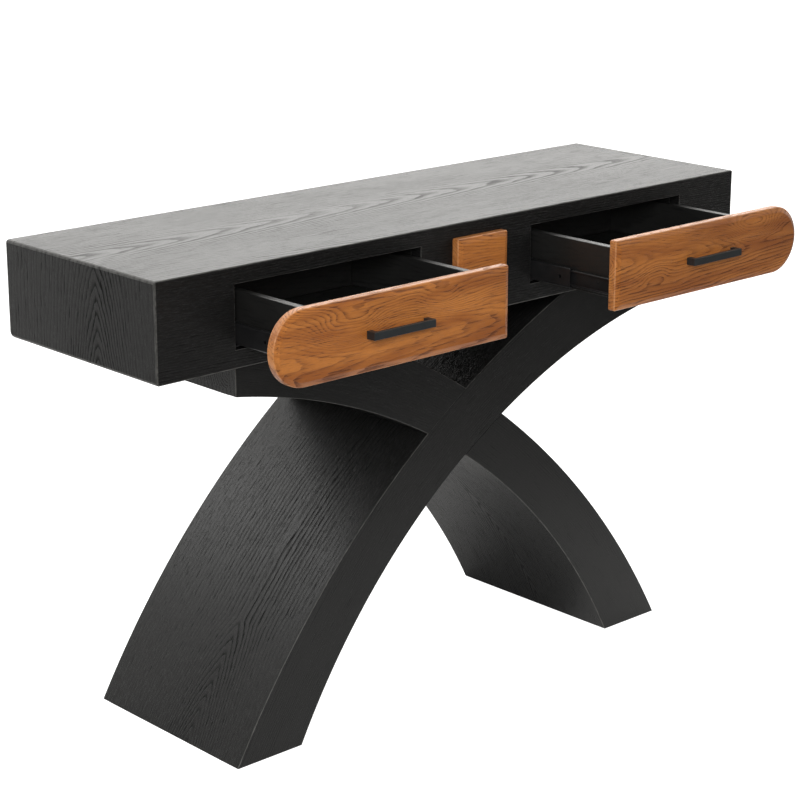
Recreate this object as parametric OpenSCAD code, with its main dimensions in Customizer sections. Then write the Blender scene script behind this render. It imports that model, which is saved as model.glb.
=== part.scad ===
// Console table: a long flat case with two drawers, standing on two arched legs
// that cross as an X. X runs along the table, Y from front to back, Z up.
// The drawers are drawn part-way out, and the origin is on the floor, under the
// middle of the whole table as it is drawn.

/* [Table] */
// Length of the case
table_l = 1200; // [1120:10:1500]
// Depth of the case from its face to its back
table_d = 360; // [300:5:450]
// Height of the table top above the floor
table_h = 760; // [630:5:920]
// Height of the case
case_h = 145; // [135:1:180]
// Thickness of the boards that are mitred together into the case
board_t = 20; // [15:0.5:24]
// Thickness of the back panel
back_t = 12; // [6:0.5:18]
// Thickness of the partitions that carry the drawer slides
partition_t = 15; // [12:0.5:20]

/* [Face] */
// Width of the stile between the two drawer openings
centre_stile_w = 232; // [200:1:280]
// Width of one drawer opening
opening_w = 349; // [290:1:370]
// Height of a drawer opening
opening_h = 93; // [80:1:94]
// Height of the rail below the openings
bottom_rail_h = 27; // [22:0.5:32]
// Width of the oak tab on the centre stile
tab_w = 104; // [80:1:140]

/* [Drawer fronts] */
// Thickness of a drawer front and of the tab
front_t = 16; // [12:0.5:22]
// Height of a drawer front and of the tab
front_h = 107; // [98:1:112]
// How far the middle of a front lies below the middle of its opening
front_drop = 3.5; // [0:0.5:4]
// How far a front reaches past its opening at the square end
front_lap = 3; // [2:0.5:6]
// How far a front reaches past its opening at the round end
front_tail = 79; // [60:1:100]
// Radius of the square end's corners, seen from the front
front_corner_r = 3; // [1:0.5:6]

/* [Handles] */
// Length of a handle
handle_l = 113; // [90:1:160]
// Height of the handle's bar
handle_h = 11; // [8:0.5:16]
// Depth of the handle's bar, front to back
handle_bar = 6; // [5:0.5:10]
// How far the handle stands out from the drawer front
handle_out = 16; // [14:0.5:35]
// Width of each end post
handle_post = 9; // [8:0.5:12]
// Diameter of the handle screws
handle_screw_d = 4; // [3:0.5:5]

/* [Drawers] */
// How far each drawer is drawn open
drawer_open = 164; // [0:1:180]
// Height of the drawer box
box_h = 77; // [60:1:84]
// Thickness of the drawer box boards
box_t = 12; // [9:0.5:15]
// Thickness of the drawer bottom
box_floor_t = 5; // [3:0.5:8]
// Height of the groove for the drawer bottom above the box's lower edge
groove_up = 8; // [5:0.5:15]
// Depth of the groove for the drawer bottom
groove_d = 5; // [3:0.5:6]

/* [Slides] */
// Width of the gap that a slide fills on each side of a drawer box
slide_gap = 12.7; // [12.7:0.1:14]
// Height of a slide
slide_h = 36; // [35:0.5:46]
// Thickness of the slide's sheet steel
slide_t = 1.2; // [1:0.1:1.6]

/* [Legs] */
// How far the legs' front face lies behind the case's face
leg_recess = 20; // [0:1:60]
// Distance from the table's middle to a foot's outer edge
foot_out = 460; // [400:5:540]
// Width of a foot where it meets the floor
foot_w = 123; // [90:1:150]
// Distance from the table's middle to a leg's upper end
leg_end_x = 450; // [400:5:520]
// Height of a leg's upper end face
leg_end_h = 48.6; // [40:0.2:70]
// Length of a leg's flat top under the case
leg_top_l = 221; // [170:1:260]
// Radius of a leg's convex face
outer_r = 1440; // [1100:5:1800]
// Radius of a leg's concave face
inner_r = 1079; // [850:5:1400]
// Thickness of the shaped boards at the front and back of a leg
cheek_t = 18; // [15:0.5:22]
// Thickness of the bent skins between those boards
skin_t = 9; // [6:0.5:12]
// Height of the solid block in each foot
foot_block_h = 40; // [25:1:60]

/* [Fasteners] */
// Diameter of the bolts that hold the case on the legs
bolt_d = 8; // [6:0.5:10]
// Diameter of the dowels at the crossing
dowel_d = 8; // [6:0.5:10]
// Length of the dowels at the crossing
dowel_l = 40; // [30:1:50]

/* [Hidden] */
$fn = 48;
arc_fn = 360;                    // sides of the legs' long arcs
closed_gap = 1;                  // between a shut drawer front and the face
box_clear = 4;                   // between the box's lower edge and its opening
slide_setback = 2;               // from the face to the slides' front ends
slide_rear_gap = 40;             // least space left behind the slides
slide_step = 50;                 // slides come in lengths this far apart
slide_member_gap = 1.5;          // between one slide member and the next
race_clear = 2;                  // between the webs of nested slide members
fit_clear = 0.1;                 // round screws, bolts, dowels and drawer bottoms
screw_hole_clear = 0.25;         // round the handle screws in the wood
screw_bite = 9;                  // how far a handle screw enters its post
screw_head_d = 7.6;
screw_head_h = 2.4;
bolt_bite = 35;                  // how far a leg bolt enters the leg
bolt_head_d = 14;
bolt_head_h = 4.4;
bolt_wall = 57;                  // from an opening's outer edge to the outer bolts
bolt_pitch_x = 80;               // between the bolts, along the table
bolt_side = 70;                  // from the legs' sides to the bolts
dowel_x = [22, 54];              // distances of the dowels from the middle
edge = 1;                        // overshoot of cutting shapes

face_y = -table_d / 2;
back_y = table_d / 2;
case_z = table_h - case_h;
inside_z0 = case_z + board_t;
inside_z1 = table_h - board_t;
case_mid_y = (closed_gap + drawer_open + front_t + handle_out) / 2;

opening_in = centre_stile_w / 2;
opening_out = opening_in + opening_w;
opening_z0 = case_z + bottom_rail_h;
opening_z1 = opening_z0 + opening_h;
opening_mid_z = (opening_z0 + opening_z1) / 2;
front_mid_z = opening_mid_z - front_drop;
front_in = opening_in - front_lap;
front_end = opening_out + front_tail;
front_mid_x = (front_in + front_end) / 2;

shut_y = face_y - closed_gap;
drawer_y = shut_y - drawer_open;
slide_l = slide_step * floor((table_d - back_t - slide_rear_gap) / slide_step);
slide_z = opening_z0 + box_clear + slide_h / 2;
slide_front_y = face_y + slide_setback;
middle_h = slide_h - 2 * (slide_t + slide_member_gap);
inner_h = middle_h - 2 * (slide_t + slide_member_gap);
middle_web = slide_t + race_clear;
box_l = slide_l + slide_front_y - shut_y;
box_in = opening_in + slide_gap;
box_out = opening_out - slide_gap;
box_z0 = opening_z0 + box_clear;
floor_z = box_z0 + groove_up;
handle_hole_x = handle_l / 2 - handle_post / 2;

leg_h = case_z;
leg_front_y = face_y + leg_recess;
leg_y0 = leg_front_y + cheek_t;
leg_y1 = back_y - cheek_t;
bolt_y = [leg_front_y + bolt_side, back_y - bolt_side];
bolt_x = [opening_out - bolt_wall - bolt_pitch_x, opening_out - bolt_wall];
cheek_mid_y = [leg_front_y + cheek_t / 2, back_y - cheek_t / 2];

// Centre of the arc of radius r that rises from point a to point b, bulging up
function arc_centre(a, b, r) =
    let (chord = b - a, half = norm(chord) / 2,
         down = [chord[1], -chord[0]] / norm(chord))
    (a + b) / 2 + down * sqrt(r * r - half * half);

// Height of an arc above the floor at a distance x from the table's middle
function arc_z(centre, r, x) = centre[1] + sqrt(r * r - pow(x - centre[0], 2));

outer_c = arc_centre([-foot_out, 0], [leg_end_x - leg_top_l, leg_h], outer_r);
inner_c = arc_centre([foot_w - foot_out, 0], [leg_end_x, leg_h - leg_end_h], inner_r);

black_wood = "#262524";
box_black = "#1b1b1b";
oak = "#b06a35";
steel = "#303234";
zinc = "#9a9c9e";
birch = "#c9a878";

// ---------------------------------------------------------------- helpers

// Moves the table, drawn about its case's middle, to its own origin
module placed() {
    translate([0, case_mid_y, 0]) children();
}

// Draws a right-hand part, or its mirror image on the left
module on_side(side) {
    if (side == "left") mirror([1, 0, 0]) children();
    else children();
}

// Extrudes an X-Z outline from y0 back to y1
module along_y(y0, y1) {
    translate([0, y1, 0]) rotate([90, 0, 0]) linear_extrude(y1 - y0) children();
}

// Extrudes a Y-Z outline from x0 to x1
module along_x(x0, x1) {
    translate([x0, 0, 0]) rotate([90, 0, 90]) linear_extrude(x1 - x0) children();
}

// A block between two corners
module block(low, high) {
    translate(low) cube(high - low);
}

// ---------------------------------------------------------------- case

// The case's front outline, drawn in by one board at the inside: both mitres
module lying_board_xz() {
    polygon([[-table_l / 2, 0], [table_l / 2, 0],
             [table_l / 2 - board_t, board_t], [-table_l / 2 + board_t, board_t]]);
}

module lying_board_yz() {
    polygon([[face_y, 0], [back_y, 0], [back_y, board_t], [face_y + board_t, board_t]]);
}

// A board that lies flat, outer face down, mitred at its ends and its front edge
module lying_board() {
    intersection() {
        along_y(face_y, back_y) lying_board_xz();
        along_x(-table_l / 2, table_l / 2) lying_board_yz();
    }
}

module top_panel() {
    color(black_wood) placed()
        translate([0, 0, table_h]) mirror([0, 0, 1]) lying_board();
}

module bottom_panel() {
    color(black_wood) placed() difference() {
        translate([0, 0, case_z]) lying_board();
        leg_bolt_shanks(bolt_d / 2 + fit_clear);
    }
}

// An end board, mitred at its top, its bottom and its front edge
module end_panel(side) {
    color(black_wood) placed() on_side(side) intersection() {
        along_y(face_y, back_y) polygon([
            [table_l / 2, case_z], [table_l / 2, table_h],
            [table_l / 2 - board_t, inside_z1], [table_l / 2 - board_t, inside_z0]]);
        translate([0, 0, case_z]) linear_extrude(case_h) polygon([
            [table_l / 2, face_y], [table_l / 2, back_y],
            [table_l / 2 - board_t, back_y], [table_l / 2 - board_t, face_y + board_t]]);
    }
}

module back_panel() {
    color(black_wood) placed()
        block([-table_l / 2 + board_t, back_y - back_t, inside_z0],
              [table_l / 2 - board_t, back_y, inside_z1]);
}

// The whole face, mitred all round, from which the rails and stiles are taken
module face_part(low, high) {
    color(black_wood) placed() intersection() {
        along_x(-table_l / 2, table_l / 2) polygon([
            [face_y, case_z], [face_y, table_h],
            [face_y + board_t, inside_z1], [face_y + board_t, inside_z0]]);
        translate([0, 0, case_z]) linear_extrude(case_h) polygon([
            [-table_l / 2, face_y], [table_l / 2, face_y],
            [table_l / 2 - board_t, face_y + board_t],
            [-table_l / 2 + board_t, face_y + board_t]]);
        block([low[0], face_y - edge, low[1]], [high[0], face_y + board_t + edge, high[1]]);
    }
}

module face_top_rail() {
    face_part([-table_l, opening_z1], [table_l, table_h + edge]);
}

module face_bottom_rail() {
    face_part([-table_l, case_z - edge], [table_l, opening_z0]);
}

module face_stile(x0, x1) {
    face_part([x0, opening_z0], [x1, opening_z1]);
}

// An upright board behind the face, flush with one edge of a drawer opening
module partition(side, place) {
    x0 = place == "outer" ? opening_out : opening_in - partition_t;
    color(black_wood) placed() on_side(side)
        block([x0, face_y + board_t, inside_z0],
              [x0 + partition_t, back_y - back_t, inside_z1]);
}

module centre_tab() {
    color(oak) placed() along_y(face_y - front_t, face_y)
        translate([0, front_mid_z]) rounded_plate(tab_w, front_h, front_corner_r);
}

// ---------------------------------------------------------------- drawer slides

// A plate with round corners, centred on its middle
module rounded_plate(w, h, r) {
    square([w - 2 * r, h], center = true);
    square([w, h - 2 * r], center = true);
    for (x = [-1, 1], y = [-1, 1])
        translate([x * (w / 2 - r), y * (h / 2 - r)]) circle(r);
}

// A channel of bent sheet, web at x = 0 and flanges pointing along +X
module channel(depth, h) {
    translate([0, -h / 2]) difference() {
        square([depth, h]);
        translate([slide_t, slide_t]) square([depth, h - 2 * slide_t]);
    }
}

// Puts a slide member on the wall of a drawer opening, x = 0 at that wall and
// +X towards the drawer, with its front end at y0
module on_wall(side, place, y0) {
    placed() on_side(side)
        translate([place == "outer" ? opening_out : opening_in, 0, slide_z])
        mirror([place == "outer" ? 1 : 0, 0, 0])
        along_y(y0, y0 + slide_l) children();
}

module slide_case_rail(side, place) {
    color(steel) on_wall(side, place, slide_front_y)
        channel(slide_gap - 2 * slide_t - edge, slide_h);
}

module slide_middle(side, place) {
    color(steel) on_wall(side, place, slide_front_y - drawer_open / 2)
        translate([middle_web, 0])
        channel(slide_gap - middle_web - slide_t - race_clear / 2, middle_h);
}

module slide_box_rail(side, place) {
    color(steel) on_wall(side, place, slide_front_y - drawer_open)
        translate([slide_gap, 0]) mirror([1, 0])
        channel(slide_gap - middle_web - slide_t - race_clear, inner_h);
}

// ---------------------------------------------------------------- drawers

// A front's outline: square with small corners inside, a half circle outside
module front_outline() {
    round_r = front_h / 2;
    plate_w = front_end - round_r - front_in;
    translate([front_in + plate_w / 2, front_mid_z])
        rounded_plate(plate_w, front_h, front_corner_r);
    translate([front_end - round_r - front_corner_r - edge, front_mid_z - round_r])
        square([front_corner_r + edge, front_h]);
    translate([front_end - round_r, front_mid_z]) circle(round_r, $fn = 180);
}

// The handle screws' shanks, as solids or as holes of any radius
module handle_shanks(r) {
    for (x = [-handle_hole_x, handle_hole_x])
        translate([front_mid_x + x, drawer_y + box_t, front_mid_z])
        rotate([90, 0, 0]) cylinder(r = r, h = box_t + front_t + screw_bite);
}

module drawer_front(side) {
    color(oak) placed() on_side(side) difference() {
        along_y(drawer_y - front_t, drawer_y) front_outline();
        handle_shanks(handle_screw_d / 2 + screw_hole_clear);
    }
}

// The drawer bottom, grown by a clearance when it is used to cut its grooves
module bottom_sheet(clear) {
    block([box_in + box_t - groove_d - clear, drawer_y + box_t - groove_d - clear,
           floor_z - clear],
          [box_out - box_t + groove_d + clear, drawer_y + box_l - box_t + groove_d + clear,
           floor_z + box_floor_t + clear]);
}

module box_bottom(side) {
    color(box_black) placed() on_side(side) bottom_sheet(0);
}

// A side of the drawer box, with the groove for the bottom
module box_side(side, place) {
    x0 = place == "outer" ? box_out - box_t : box_in;
    color(box_black) placed() on_side(side) difference() {
        block([x0, drawer_y, box_z0], [x0 + box_t, drawer_y + box_l, box_z0 + box_h]);
        bottom_sheet(fit_clear);
    }
}

// The front or back board of the drawer box, between its sides
module box_end(y0) {
    difference() {
        block([box_in + box_t, y0, box_z0], [box_out - box_t, y0 + box_t, box_z0 + box_h]);
        bottom_sheet(fit_clear);
        handle_shanks(handle_screw_d / 2 + screw_hole_clear);
    }
}

module box_front(side) {
    color(box_black) placed() on_side(side) box_end(drawer_y);
}

module box_back(side) {
    color(box_black) placed() on_side(side) box_end(drawer_y + box_l - box_t);
}

module handle(side) {
    low = [front_mid_x - handle_l / 2, drawer_y - front_t - handle_out,
           front_mid_z - handle_h / 2];
    color(steel) placed() on_side(side) difference() {
        block(low, low + [handle_l, handle_out, handle_h]);
        block(low + [handle_post, handle_bar, -edge],
              low + [handle_l - handle_post, handle_out + edge, handle_h + edge]);
        handle_shanks(handle_screw_d / 2 + fit_clear);
    }
}

module handle_screws(side) {
    color(zinc) placed() on_side(side) {
        handle_shanks(handle_screw_d / 2);
        for (x = [-handle_hole_x, handle_hole_x])
            translate([front_mid_x + x, drawer_y + box_t + screw_head_h, front_mid_z])
            rotate([90, 0, 0]) cylinder(d = screw_head_d, h = screw_head_h);
    }
}

// ---------------------------------------------------------------- legs

// The leg that runs from the left foot to the right-hand end of the case,
// with its faces drawn in by skin_out and skin_in
module leg_outline(skin_out, skin_in) {
    intersection() {
        translate([-foot_out, 0]) square([foot_out + leg_end_x, leg_h]);
        difference() {
            translate(outer_c) circle(outer_r - skin_out, $fn = arc_fn);
            translate(inner_c) circle(inner_r + skin_in, $fn = arc_fn);
        }
    }
}

module outer_skin_outline() {
    difference() {
        leg_outline(0, 0);
        translate(outer_c) circle(outer_r - skin_t, $fn = arc_fn);
    }
}

module inner_skin_outline() {
    intersection() {
        leg_outline(0, 0);
        translate(inner_c) circle(inner_r + skin_t, $fn = arc_fn);
    }
}

// The mirrored leg, stopped where it meets the through leg: its lower arm is on
// the right of the crossing and its upper arm on the left
module arm_outline(arm) {
    intersection() {
        translate([arm == "lower" ? 0 : -table_l, 0]) square([table_l, leg_h]);
        difference() {
            mirror([1, 0]) children();
            leg_outline(0, 0);
        }
    }
}

// The dowels at the crossing, square to the through leg's curved faces
module dowels(r, l) {
    for (y = cheek_mid_y, x = dowel_x) {
        dowel(y, x, inner_c, inner_r, r, l);
        dowel(y, -x, outer_c, outer_r, r, l);
    }
}

module dowel(y, x, centre, arc_r, r, l) {
    z = arc_z(centre, arc_r, x);
    translate([x, y, z])
        rotate([0, 90 - atan2(z - centre[1], x - centre[0]), 0])
        cylinder(r = r, h = l, center = true);
}

module dowel_holes() {
    dowels(dowel_d / 2 + fit_clear, dowel_l + 2 * fit_clear);
}

module leg_bolt_shanks(r) {
    for (side = ["left", "right"], x = bolt_x, y = bolt_y)
        on_side(side) translate([x, y, leg_h - bolt_bite])
            cylinder(r = r, h = bolt_bite + board_t);
}

// A shaped board at the front or the back of a leg
module cheek(place) {
    y0 = place == "front" ? leg_front_y : leg_y1;
    color(black_wood) placed() difference() {
        along_y(y0, y0 + cheek_t) children();
        dowel_holes();
    }
}

// A curved sheet between the cheeks
module skin() {
    color(black_wood) placed() along_y(leg_y0, leg_y1) children();
}

module foot_blocks() {
    color(birch) placed() for (side = ["left", "right"]) on_side(side)
        along_y(leg_y0, leg_y1) intersection() {
            mirror([1, 0]) leg_outline(skin_t, skin_t);
            square([table_l, foot_block_h]);
        }
}

module top_blocks() {
    color(birch) placed() difference() {
        for (side = ["left", "right"]) on_side(side)
            along_y(leg_y0, leg_y1) intersection() {
                leg_outline(skin_t, skin_t);
                translate([leg_end_x - leg_top_l, 0]) square([leg_top_l, leg_h]);
            }
        leg_bolt_shanks(bolt_d / 2 + fit_clear);
    }
}

module crossing_block() {
    color(birch) placed() along_y(leg_y0, leg_y1) intersection() {
        leg_outline(skin_t, skin_t);
        mirror([1, 0]) leg_outline(0, 0);
    }
}

module leg_bolts() {
    color(zinc) placed() {
        leg_bolt_shanks(bolt_d / 2);
        for (side = ["left", "right"], x = bolt_x, y = bolt_y)
            on_side(side) translate([x, y, inside_z0])
                cylinder(d = bolt_head_d, h = bolt_head_h);
    }
}

module crossing_dowels() {
    color(birch) placed() dowels(dowel_d / 2, dowel_l);
}

// ---------------------------------------------------------------- the table

top_panel();
bottom_panel();
end_panel("left");  // left_end_panel
end_panel("right");  // right_end_panel
back_panel();
face_top_rail();
face_bottom_rail();
face_stile(-table_l, -opening_out);  // face_left_stile
face_stile(-opening_in, opening_in);  // face_centre_stile
face_stile(opening_out, table_l);  // face_right_stile
partition("left", "outer");  // left_outer_partition
partition("left", "inner");  // left_inner_partition
partition("right", "inner");  // right_inner_partition
partition("right", "outer");  // right_outer_partition
centre_tab();

slide_case_rail("left", "outer");  // left_outer_slide_case_rail
slide_middle("left", "outer");  // left_outer_slide_middle
slide_box_rail("left", "outer");  // left_outer_slide_box_rail
slide_case_rail("left", "inner");  // left_inner_slide_case_rail
slide_middle("left", "inner");  // left_inner_slide_middle
slide_box_rail("left", "inner");  // left_inner_slide_box_rail
slide_case_rail("right", "inner");  // right_inner_slide_case_rail
slide_middle("right", "inner");  // right_inner_slide_middle
slide_box_rail("right", "inner");  // right_inner_slide_box_rail
slide_case_rail("right", "outer");  // right_outer_slide_case_rail
slide_middle("right", "outer");  // right_outer_slide_middle
slide_box_rail("right", "outer");  // right_outer_slide_box_rail

drawer_front("left");  // left_drawer_front
box_front("left");  // left_box_front
box_back("left");  // left_box_back
box_side("left", "outer");  // left_box_outer_side
box_side("left", "inner");  // left_box_inner_side
box_bottom("left");  // left_box_bottom
handle("left");  // left_handle
handle_screws("left");  // left_handle_screws

drawer_front("right");  // right_drawer_front
box_front("right");  // right_box_front
box_back("right");  // right_box_back
box_side("right", "outer");  // right_box_outer_side
box_side("right", "inner");  // right_box_inner_side
box_bottom("right");  // right_box_bottom
handle("right");  // right_handle
handle_screws("right");  // right_handle_screws

cheek("front") leg_outline(0, 0);  // through_leg_front_cheek
cheek("back") leg_outline(0, 0);  // through_leg_back_cheek
skin() outer_skin_outline();  // through_leg_outer_skin
skin() inner_skin_outline();  // through_leg_inner_skin
cheek("front") arm_outline("lower") leg_outline(0, 0);  // lower_arm_front_cheek
cheek("back") arm_outline("lower") leg_outline(0, 0);  // lower_arm_back_cheek
skin() arm_outline("lower") outer_skin_outline();  // lower_arm_outer_skin
skin() arm_outline("lower") inner_skin_outline();  // lower_arm_inner_skin
cheek("front") arm_outline("upper") leg_outline(0, 0);  // upper_arm_front_cheek
cheek("back") arm_outline("upper") leg_outline(0, 0);  // upper_arm_back_cheek
skin() arm_outline("upper") outer_skin_outline();  // upper_arm_outer_skin
skin() arm_outline("upper") inner_skin_outline();  // upper_arm_inner_skin
foot_blocks();
top_blocks();
crossing_block();
leg_bolts();
crossing_dowels();
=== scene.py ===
import math

import bmesh
import bpy
import numpy as np
from mathutils import Matrix, Vector


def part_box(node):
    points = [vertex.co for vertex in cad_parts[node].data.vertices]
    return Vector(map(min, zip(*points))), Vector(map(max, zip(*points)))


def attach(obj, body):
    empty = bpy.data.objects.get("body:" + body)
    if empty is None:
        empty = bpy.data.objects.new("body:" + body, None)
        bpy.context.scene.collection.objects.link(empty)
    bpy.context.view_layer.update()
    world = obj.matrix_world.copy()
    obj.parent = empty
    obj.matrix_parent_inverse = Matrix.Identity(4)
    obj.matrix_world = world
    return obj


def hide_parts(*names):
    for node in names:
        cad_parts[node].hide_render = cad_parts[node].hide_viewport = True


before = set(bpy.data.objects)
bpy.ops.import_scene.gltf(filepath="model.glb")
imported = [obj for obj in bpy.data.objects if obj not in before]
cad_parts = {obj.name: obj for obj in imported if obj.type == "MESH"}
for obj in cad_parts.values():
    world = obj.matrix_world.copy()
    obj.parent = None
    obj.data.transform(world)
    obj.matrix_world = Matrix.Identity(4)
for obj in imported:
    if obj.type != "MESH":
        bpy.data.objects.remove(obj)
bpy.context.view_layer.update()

MM = 0.001

# ---- sizes
# Places come from the frame; the sizes that it can't give are named here.

LEG_OUTER_R = 1440 * MM          # radius of a leg's convex face
LEG_INNER_R = 1079 * MM          # radius of a leg's concave face
LEG_TOP_L = 221 * MM             # length of a leg's flat top
LEG_END_H = 48.6 * MM            # height of a leg's upper end
FOOT_W = 123 * MM                # width of a foot on the floor
SKIN_T = 9 * MM                  # thickness of the legs' bent skins
ARC_STEP = math.radians(0.4)     # turn between neighbouring facets of a leg's arcs
DOWEL_X = (22 * MM, 54 * MM)     # the crossing dowels' distances from the middle
DOWEL_R = 4.1 * MM               # radius of their holes
DOWEL_REACH = 20.1 * MM          # half the length of their holes
CASE_END_R = 4.5 * MM            # rounding of the case's edges at its two ends
CASE_FRONT_R = 1.8 * MM          # rounding of the case's long front edges
CASE_CORNER_R = 2.6 * MM         # rounding of its upright front edges
CASE_BACK_R = 8.0 * MM           # rounding of its back edges
CASE_LOW_R = 16.0 * MM           # rounding of its low back edge, the largest
OPENING_R = 0.8 * MM             # rounding of the edges of the drawer openings
LEG_EDGE_R = 1.6 * MM            # rounding of a leg's visible edges
LEG_JOINT_R = 0.4 * MM           # easing where the arms meet the through leg
FRONT_EDGE_R = 3.4 * MM          # rounding round the face of a drawer front
FRONT_SLOPE_W = 8.4 * MM         # width of that rounding and the slope inside it
FRONT_SLOPE_EASE = 0.6 * MM      # where the slope starts, give or take this
FRONT_SLOPE = math.radians(24)   # how steeply it falls back
FRONT_BACK_R = 0.8 * MM          # rounding round its back
FRONT_CORNER_R = 3.0 * MM        # its square corners, seen from the front
FRONT_HOLE_R = 2.25 * MM         # its screw holes
HANDLE_EDGE_R = 0.6 * MM         # rounding of a handle's edges
HANDLE_POST = 9 * MM             # width of its posts
HANDLE_BAR = 6 * MM              # thickness of its bar
HANDLE_HOLE_R = 2.1 * MM         # the screw holes in its posts
HANDLE_HOLE_DEPTH = 9.1 * MM
SLIDE_T = 1.2 * MM               # sheet thickness of the drawer slides
SLIDE_BEND = 2.2 * MM            # how far a bend reaches along the sheet
SLIDE_HOLE_R = 2.6 * MM          # the holes in their webs
CASE_RAIL_LIP = 3 * MM           # lips of a slide's outer member
RUNNER_LIP = 2 * MM              # lips of the two that move
OVERSHOOT = 1 * MM               # how far a drill starts outside a piece
SAME = 1e-6                      # places closer than this are the same

# How strongly an edge is rounded, as a share of the piece's radius
SHARP, ROUND = 0.0, 1.0
EASED = LEG_JOINT_R / LEG_EDGE_R

SIDES = ("left", "right")
PLACES = ("outer", "inner")
SIGN = {"left": -1, "right": 1}

top_lo, top_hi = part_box("top_panel")
case_lo = Vector((top_lo.x, top_lo.y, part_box("bottom_panel")[0].z))
case_hi = Vector(top_hi)
board_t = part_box("left_end_panel")[1].x - case_lo.x
inner_lo = case_lo + Vector((board_t,) * 3)
inner_hi = case_hi - Vector((board_t,) * 3)
opening_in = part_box("face_centre_stile")[1].x
opening_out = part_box("face_right_stile")[0].x
opening_z0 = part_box("face_bottom_rail")[1].z
opening_z1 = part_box("face_top_rail")[0].z


# ---- mesh helpers

def linked(name, data):
    """An object with this data, linked to the scene."""
    obj = bpy.data.objects.new(name, data)
    bpy.context.scene.collection.objects.link(obj)
    return obj


def new_object(name, bm):
    """A mesh object made from a bmesh."""
    bmesh.ops.recalc_face_normals(bm, faces=bm.faces)
    mesh = bpy.data.meshes.new(name)
    bm.to_mesh(mesh)
    bm.free()
    return linked(name, mesh)


def apply_modifiers(obj):
    """Replaces an object's mesh by what its modifiers make of it."""
    graph = bpy.context.evaluated_depsgraph_get()
    mesh = bpy.data.meshes.new_from_object(obj.evaluated_get(graph))
    obj.modifiers.clear()
    old, obj.data = obj.data, mesh
    bpy.data.meshes.remove(old)
    return obj


def keep_flat(obj):
    """Shades an object smoothly, but its large faces flat."""
    obj.data.polygons.foreach_set("use_smooth", [True] * len(obj.data.polygons))
    normals = obj.modifiers.new("flat_faces", "WEIGHTED_NORMAL")
    normals.weight = 60
    return normals


def smooth(obj, angle=32):
    """Smooth shading that keeps flat faces flat, and edges sharper than an angle hard."""
    normals = keep_flat(obj)
    normals.keep_sharp = True
    obj.data.set_sharp_from_angle(angle=math.radians(angle))
    return obj


def round_weighted(obj, radius, segments):
    """Rounds the edges that carry a bevel weight; a weight of 1 is the radius."""
    bevel = obj.modifiers.new("round", "BEVEL")
    bevel.width = radius
    bevel.segments = segments
    bevel.limit_method = "WEIGHT"
    bevel.use_clamp_overlap = False
    return apply_modifiers(obj)


def block_mesh(low, high):
    """A block between two corners, as a bmesh."""
    bm = bmesh.new()
    bmesh.ops.create_cube(bm, size=1)
    middle, size = (low + high) / 2, high - low
    for v in bm.verts:
        v.co = middle + Vector([c * s for c, s in zip(v.co, size)])
    return bm


def cut_away(bm, point, normal):
    """Removes what lies on the side of a plane that its normal points to, and closes the cut."""
    geometry = bm.verts[:] + bm.edges[:] + bm.faces[:]
    cut = bmesh.ops.bisect_plane(bm, geom=geometry, dist=1e-7, plane_co=Vector(point),
                                 plane_no=Vector(normal).normalized(), clear_outer=True)
    rim = [g for g in cut["geom_cut"] if isinstance(g, bmesh.types.BMEdge)]
    if rim:
        bmesh.ops.edgeloop_fill(bm, edges=rim)


def score(bm, point, normal):
    """Splits the faces along a plane without removing anything."""
    geometry = bm.verts[:] + bm.edges[:] + bm.faces[:]
    bmesh.ops.bisect_plane(bm, geom=geometry, dist=1e-7, plane_co=Vector(point),
                           plane_no=Vector(normal))


def rings_mesh(rings):
    """A closed skin through rings of points that all have the same count, with flat ends."""
    bm = bmesh.new()
    made = [[bm.verts.new(p) for p in ring] for ring in rings]
    bm.faces.new(made[0])
    bm.faces.new(list(reversed(made[-1])))
    count = len(made[0])
    for low, high in zip(made, made[1:]):
        for i in range(count):
            j = (i + 1) % count
            bm.faces.new((low[j], low[i], high[i], high[j]))
    return bm


def prism(name, outline, levels, weights, to_space, radius):
    """A solid between two copies of an outline, whose edges are rounded by their weights.
    weights holds, per outline edge, the weights at the first level, at the second level,
    and along the line between the levels at the edge's first point. One number stands for
    the same weight everywhere."""
    rings = [[to_space(u, v, level) for u, v in outline] for level in levels]
    bm = rings_mesh(rings)
    layer = bm.edges.layers.float.new("bevel_weight_edge")
    bm.verts.ensure_lookup_table()
    count = len(outline)
    if isinstance(weights, float):
        weights = [(weights,) * 3] * count
    for i, (first, second, across) in enumerate(weights):
        j = (i + 1) % count
        bm.edges.get((bm.verts[i], bm.verts[j]))[layer] = first
        bm.edges.get((bm.verts[count + i], bm.verts[count + j]))[layer] = second
        bm.edges.get((bm.verts[i], bm.verts[count + i]))[layer] = across
    return round_weighted(new_object(name, bm), radius, 3)


def drill(obj, starts, ways, radius, length):
    """Takes round holes out of a piece. Each hole runs from its start along its own way."""
    bm = bmesh.new()
    for start, way in zip(starts, ways):
        turn = Vector((0, 0, 1)).rotation_difference(way).to_matrix().to_4x4()
        place = Matrix.Translation(start + way.normalized() * (length / 2)) @ turn
        bmesh.ops.create_cone(bm, cap_ends=True, segments=28, radius1=radius, radius2=radius,
                              depth=length, matrix=place)
    tool = new_object(obj.name + "_tool", bm)
    cut = obj.modifiers.new("drill", "BOOLEAN")
    cut.operation = "DIFFERENCE"
    cut.solver = "EXACT"
    cut.object = tool
    apply_modifiers(obj)
    bpy.data.objects.remove(tool)


# ---- grain, and wear with painted edge highlights

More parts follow.
